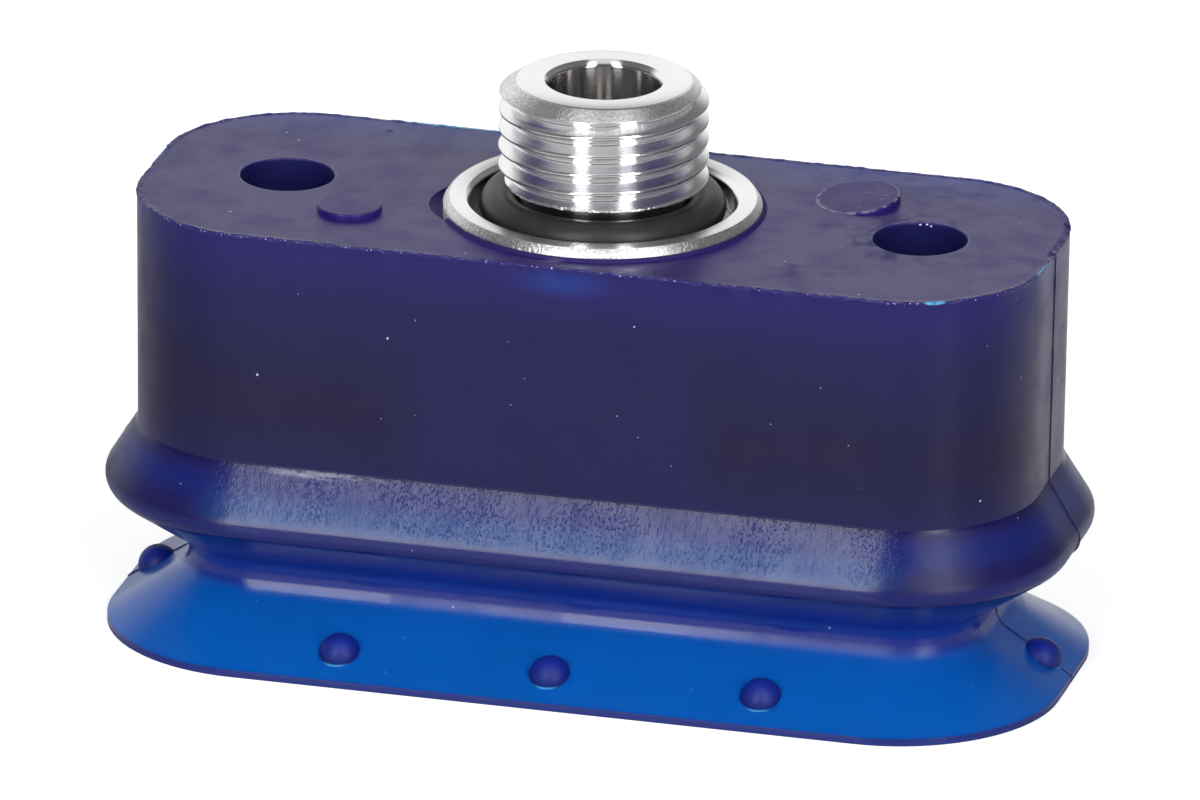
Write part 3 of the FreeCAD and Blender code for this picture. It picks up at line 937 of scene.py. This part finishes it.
uneven = noise_at(in_mm, 3.0, 3.0, 0.6)
frayed = ramp(uneven, 0.28, 0.46)
# The chips are thin flash on the edge; their bright cyan is painted light, for the light that shines through
# them.
CHIPS = (((17.75, -7.9, 21.07), (0.62, 0.13, 0.13), 25), ((21.44, -2.3, 21.08), (0.07, 1.1, 0.07), -3),
         ((-21.48, 1.05, 21.1), (0.07, 1.0, 0.08), 0), ((-9.2, 8.45, 21.12), (3.4, 0.22, 0.10), 0))
for centre, size, angle in CHIPS:
    chip = product(near(in_mm, centre, size, angle, 0.6), frayed)
    colour = paint(colour, chip, 0.85, (0.10, 0.42, 0.75))
print("chips on the edge:", len(CHIPS))

# %% Painted sparkles in the right hole, painted reflections of the collar, and the seam
# Painted highlights: three tiny sparkles on the wall of the right hole, just below its edge.
SPARKLES = ((14.57, 2.13, 21.0), (14.88, 2.18, 21.02), (15.07, 2.19, 20.95))
for centre in SPARKLES:
    colour = blend_colour(near(in_mm, centre, (0.07, 0.07, 0.05)), colour, (0.75, 0.78, 0.95))
# Painted reflections: soft pale patches on the top face just in front of the collar, where the bright metal
# is mirrored.
GLARES = (((-0.37, -7.68, 21.15), 0.75), ((1.18, -8.15, 21.13), 0.6), ((3.34, -7.8, 21.13), 0.5))
for centre, length in GLARES:
    glare = near(in_mm, centre, (length, 0.3, 0.3), 15, 0.0)
    colour = paint(colour, glare, 0.55, (0.22, 0.21, 0.36))
from_middle = calc("ABSOLUTE", y)
seam = product(ramp(from_middle, 0.11, 0.06), ramp(along, 12.0, 13.0), ramp(z, 20.95, 20.8))
colour = paint(colour, seam, 0.7, (0.005, 0.002, 0.030))
print("sparkles and glares:", len(SPARKLES) + len(GLARES))

# %% Worn rims of the holes and of the rear mark
from_above = add("CombineXYZ", X=x, Y=y, Z=0.0).outputs[0]
from_mark = apart(from_above, (*REAR_MARK, 0))
hole_rim = band(from_hole, 2.20, 2.24, 2.27, 2.33)
climb_x = math.tan(math.radians(-REAR_TIP[1]))
climb_y = math.tan(math.radians(REAR_TIP[0]))
height_at_axis = TOP_Z + REAR_MARK_H - climb_x * REAR_MARK[0] - climb_y * REAR_MARK[1]
mark_face = raised_by(height_at_axis, ((y, climb_y), (x, climb_x)))
below_face = calc("SUBTRACT", mark_face, z)
mark_rim = product(band(from_mark, 1.80, 1.86, 1.96, 2.01), ramp(below_face, 0.09, 0.05))
worn = largest(calc("MULTIPLY", hole_rim, 0.5), mark_rim)
worn = product(worn, on_top, ramp(uneven, 0.40, 0.54))
print("the rear mark climbs", round(climb_x, 3), "along and", round(climb_y, 3), "across")

# %% Scratches, stains, a painted shadow round the collar and a painted highlight on the shoulder
scratch = ramp(noise_at(in_mm, 2.6, 3.0, 0.6, (1.0, 2.4, 1.0)), 0.60, 0.68)
scratch = product(scratch, ramp(from_mark, 1.6, 1.3), ramp(x, 10.9, 11.5), ramp(z, 21.12, 21.2))
worn = largest(worn, calc("MULTIPLY", scratch, 0.6))
colour = paint(colour, worn, 0.5, (0.34, 0.33, 0.46))

spot = near(in_mm, (-12.1, 7.0, 21.1), (0.24, 0.24, 0.24))
# Painted shadow: a dark ring on the top face close round the collar, for the shade in the gap between rubber
# and metal.
painted_gap_shadow = ramp(apart(from_above, (0, 0, 0)), COLLAR_R + 0.24, COLLAR_R + 0.14, 0.0, 1.6)
stain_and_gap_shade = product(ramp(from_hole, 3.9, 2.5), band(x, 9.0, 11.0, 14.0, 16.5),
                ramp(noise_at(in_mm, 1.1, 3.0, 0.6), 0.44, 0.60))
stain_and_gap_shade = product(largest(stain_and_gap_shade, spot, painted_gap_shadow), on_top)
# Real stains and a dark spot, together with the painted shadow round the collar.
colour = paint(colour, stain_and_gap_shade, 0.4, (0.008, 0.004, 0.080))

# Painted highlight: a pale streaky band along the upper edge of the shoulder at the front left, where the
# lamp shines on it.
creased = ramp(noise_at(in_mm, 2.5, 3.0, 0.6, (0.3, 1.0, 1.5)), 0.38, 0.60)
painted_shoulder_highlight = product(near(in_mm, (-10.8, -8.6, 9.72), (3.6, 0.6, 0.24), soft=0.4), creased)
colour = paint(colour, painted_shoulder_highlight, 0.5, (0.36, 0.35, 0.46))
print("rubber nodes so far:", len(trees[-1].nodes))

# %% Dust and shine of the rubber
fine_dust = calc("MULTIPLY", specks(in_mm, 0.8, 0.035), 0.6)
dust = largest(fine_dust, specks(in_mm, 0.4, 0.06))
colour = paint(colour, dust, 0.8, (0.55, 0.55, 0.65))

on_block = ramp(z, 9.85, 9.95)
on_side = product(on_block, ramp(z, 21.05, 20.95), ramp(along, 19.5, 16.5))
on_shoulder = product(band(z, 7.4, 8.0, 9.85, 9.95), ramp(along, 17.5, 14.5))
on_fillet = band(z, 2.2, 2.4, 3.2, 3.4)
fold_end = product(on_fold, ramp(along, 15.5, 18.5))
scuff = product(ramp(noise_at(in_mm, 8.0, 3.0, 0.6, (1.0, 1.0, 0.5)), 0.55, 0.66),
                ramp(noise_at(in_mm, 0.35, 2.0), 0.40, 0.60), on_shoulder)
dull_left = band(x, -8.45, -8.25, -0.2, -0.05)
dull_right = ramp(x, 3.0, 11.0, 0.0, 1.5)
dull = product(largest(dull_left, dull_right), on_fillet)
mottle = product(noise_at(in_mm, 1.1, 4.0, 0.65, (1.0, 1.0, 0.45)), on_shoulder)
smudge = product(ramp(noise_at(in_mm, 0.55, 3.0, 0.55), 0.56, 0.68), on_top, ramp(x, 6.0, 11.0))
rubbing = ramp(noise_at(in_mm, 0.5, 3.0, 0.6), 0.35, 0.75)
roughness = raised_by(0.16, (
    (rubbing, 0.10), (on_block, 0.20), (on_side, 0.14), (on_dome, 0.3), (on_top, -0.05), (smudge, 0.08),
    (scuff, 0.16), (on_fillet, -0.08), (dull, 0.16), (fold_end, 0.2), (largest(stain_and_gap_shade, seam), 0.2),
    (in_hole, 0.3), (mottle, 0.08)))
print("rubber nodes so far:", len(trees[-1].nodes))

# %% Grain of the rubber
grain = noise_at(in_mm, 9.0, 2.0)
height = product(cloudy, ramp(z, 21.05, 20.9))
height = raised_by(height, ((grain, 0.25), (torn, 1.5), (mottle, 2.2), (scuff, -0.5)))
relief = add("Bump", Strength=0.6, Distance=0.03 * MM, Height=height)
shader.inputs["IOR"].default_value = 1.39
put_on(cup, rubber, shader, colour, roughness, relief)

# %% [markdown]
# ## Turned aluminium
# A lathe leaves fine rings in the metal, and they spread reflections up and down, so lamps
# show as upright stripes. The rings are a noise that only knows the distance from the axis
# and the height; the shader's own anisotropy does the spreading. Chamfers were cut with a
# blunter tool and look grainy.

# %% Zones of the fitting
aluminium, shader, in_mm = new_finish("turned_aluminium")
x, y, z = add("SeparateXYZ", Vector=in_mm).outputs
radius = calc("SQRT", calc("ADD", product(x, x), product(y, y)))
chamfer = product(band(z, 26.72, 26.78, 27.28, 27.33), ramp(radius, 3.9, 4.0))
chamfer = largest(chamfer, ramp(radius, 7.08, 7.12))
burr = product(band(z, 22.40, 22.46, 22.60, 22.70), ramp(radius, 4.6, 4.7),
               ramp(noise_at(in_mm, 5.0, 2.0), 0.40, 0.55, 0.3, 1.0))
grainy = largest(chamfer, burr)
annulus = product(ramp(radius, 6.34, 6.40), ramp(z, 21.60, 21.63))
in_groove = product(ramp(radius, 6.2, 6.14), ramp(z, 21.6, 21.5))
in_bore = ramp(radius, 2.62, 2.58)
print("aluminium nodes so far:", len(trees[-1].nodes))

# %% Finish of the fitting
lathe_place = add("CombineXYZ", X=radius, Y=0.0, Z=z).outputs[0]
rings = noise_at(lathe_place, 9.0, 4.0, 0.6)
fine_rings = noise_at(lathe_place, 30.0, 2.0)
patina = noise_at(in_mm, 0.8, 3.0)
sand = ramp(noise_at(in_mm, 8.0, 3.0, 0.7), 0.44, 0.62)
colour = paint((0.95, 0.95, 0.955), rings, 0.5, (0.82, 0.82, 0.835))
colour = paint(colour, patina, 0.25, (0.74, 0.74, 0.76))
# Painted shade: the bore and the groove are painted darker, for the shade inside them.
colour = paint(colour, largest(in_bore, in_groove), 0.9, (0.40, 0.39, 0.38))
colour = blend_colour(grainy, colour, (0.97, 0.97, 0.96))
colour = paint(colour, product(sand, chamfer), 0.7, (0.58, 0.58, 0.58))

roughness = raised_by(0.10, ((rings, 0.08), (grainy, 0.24), (annulus, 0.12)))
grit = product(noise_at(in_mm, 7.0, 3.0, 0.6), calc("ADD", grainy, 0.02))
height = raised_by(calc("MULTIPLY", rings, 0.4), ((fine_rings, 0.2), (grit, 4.0)))
relief = add("Bump", Strength=0.5, Distance=0.02 * MM, Height=height)
shader.inputs["Metallic"].default_value = 1.0
shader.inputs["Anisotropic"].default_value = 0.9
shader.inputs["Anisotropic Rotation"].default_value = 0.25
tangent = add("Tangent", {"direction_type": "RADIAL", "axis": "Z"})
fill(shader.inputs["Tangent"], tangent.outputs[0])
put_on(fitting, aluminium, shader, colour, roughness, relief)

# %% [markdown]
# ## Black rubber
# The ring is satin black: darker than the shadow, but with a soft sheen and a little dust.
# One dark colour would do from afar; a slow noise makes it a little uneven, as old rubber is.

# %% Finish of the sealing ring
black, shader, in_mm = new_finish("black_rubber")
blotch = noise_at(in_mm, 0.7, 4.0, 0.6)
colour = blend_colour(blotch, (0.013, 0.013, 0.013), (0.040, 0.039, 0.037))
colour = paint(colour, specks(in_mm, 1.6, 0.05), 0.35, (0.3, 0.29, 0.27))
roughness = raised_by(0.28, ((blotch, 0.2),))
relief = add("Bump", Strength=0.4, Distance=0.02 * MM, Height=noise_at(in_mm, 8.0, 3.0, 0.6))
shader.inputs["Specular IOR Level"].default_value = 0.35
put_on(ring, black, shader, colour, roughness, relief)

# %% [markdown]
# ## The studio
# The photograph was taken on white, between two tall soft lamps that stand left and right of
# the camera; they show as upright stripes on the thread. The floor is plain white and keeps a
# soft shadow. What the camera and shiny surfaces see of it gets a little light of its own, so
# that white is white without more light on the object. The room behind is white, the rest of
# it dim, and a small pale panel high above lights up the chamfer of the thread.

# %% White floor and surroundings
let_go()
bpy.ops.mesh.primitive_plane_add(size=6.0, location=(0, 0, 0))
floor = bpy.context.object
floor.name = "floor"
white, shader, in_mm = new_finish("white_floor")
trees[-1].nodes.remove(shader)
paths = add("LightPath").outputs
x, y, _ = add("SeparateXYZ", Vector=in_mm).outputs
far = calc("MULTIPLY_ADD", x, 0.35, calc("MULTIPLY", y, 0.94))
bright = product(ramp(far, 0.0, 35.0, 0.05, 1.0),
                 ramp(x, -90.0, -45.0, 0.1, 1.0), ramp(x, 85.0, 50.0, 0.2, 1.0))
seen = calc("MULTIPLY_ADD", paths["Is Camera Ray"], 1.45, paths["Is Transmission Ray"])
seen = calc("MULTIPLY_ADD", paths["Is Glossy Ray"], bright, seen)
paper = add("BsdfDiffuse", Color=(0.82, 0.82, 0.82))
polish = add("BsdfGlossy", Color=(1, 1, 1), Roughness=0.08)
surface = add("MixShader", in0=calc("MULTIPLY", paths["Is Glossy Ray"], 0.12),
              in1=paper.outputs[0], in2=polish.outputs[0])
glow = add("Emission", Color=(1, 1, 1), Strength=calc("MULTIPLY", seen, 0.42))
lit = add("AddShader", in0=surface.outputs[0], in1=glow.outputs[0])
fill(trees[-1].nodes["Material Output"].inputs["Surface"], lit.outputs[0])
floor.data.materials.append(white)
print("floor nodes:", len(trees[-1].nodes))

# %% A room with a white backdrop
BACKDROP_WAY = Vector((-0.574, 0.819, 0.0))
PANEL_WAY = Vector((0.09, -0.34, 0.935))
world = bpy.data.worlds.new("studio")
bpy.context.scene.world = world
world.use_nodes = True
trees.append(world.node_tree)
way = add("TexCoord").outputs["Generated"]
behind = add("VectorMath", {"operation": "DOT_PRODUCT"}, in0=way, in1=BACKDROP_WAY).outputs["Value"]
overhead = add("VectorMath", {"operation": "DOT_PRODUCT"}, in0=way, in1=PANEL_WAY).outputs["Value"]
ceiling = ramp(add("SeparateXYZ", Vector=way).outputs["Z"], 0.4, 0.75)
backdrop = ramp(behind, 0.54, 0.85, 0.2, 1.0)
room = add("Mix", in0=ceiling, in2=backdrop, in3=0.15).outputs[0]
panel = ramp(overhead, 0.90, 0.97, 0.0, 0.75)
strength = largest(room, panel, add("LightPath").outputs["Is Camera Ray"])
background = world.node_tree.nodes["Background"]
fill(background.inputs["Strength"], strength)
fill(background.inputs["Color"], (1, 1, 1))
print("world nodes:", len(trees[-1].nodes))

# %% Two tall soft lamps
LAMP_DISTANCE = 1.04
LAMP_WIDTH = 0.3
LAMP_HEIGHT = 1.5
LAMP_POWER = 10.1


def soft_lamp(name, azimuth):
    """An upright rectangular lamp on the floor, at an azimuth in degrees, that faces the cup."""
    turn = math.radians(azimuth)
    way = Vector((math.sin(turn), -math.cos(turn), 0.0))
    middle = Vector((0, 0, LAMP_HEIGHT / 2 + 0.01))
    let_go()
    bpy.ops.object.light_add(type="AREA", location=way * LAMP_DISTANCE + middle)
    lamp = bpy.context.object
    lamp.name = name
    lamp.rotation_euler = way.to_track_quat("Z", "Y").to_euler()
    lamp.data.shape = "RECTANGLE"
    lamp.data.size = LAMP_WIDTH
    lamp.data.size_y = LAMP_HEIGHT
    lamp.data.energy = LAMP_POWER


soft_lamp("left_lamp", -13.5)
soft_lamp("right_lamp", 44.2)
print("lamps placed at", LAMP_DISTANCE, "m")

# %% [markdown]
# ## The pieces and the imported model
# Each piece rides on the one body there is, stands for its node of the imported model and keeps
# the finish that was put on it above. The view is set to plain colours.

# %% Tie the pieces to the imported model
for piece, node, slot in ((cup, "cup_body", "moulded_polyurethane"),
                          (fitting, "threaded_fitting", "turned_aluminium"),
                          (ring, "o_ring", "black_rubber")):
    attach(piece, "root")
    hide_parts(node)
    print(piece.name, "stands for", node)
bpy.context.scene.view_settings.view_transform = "Standard"
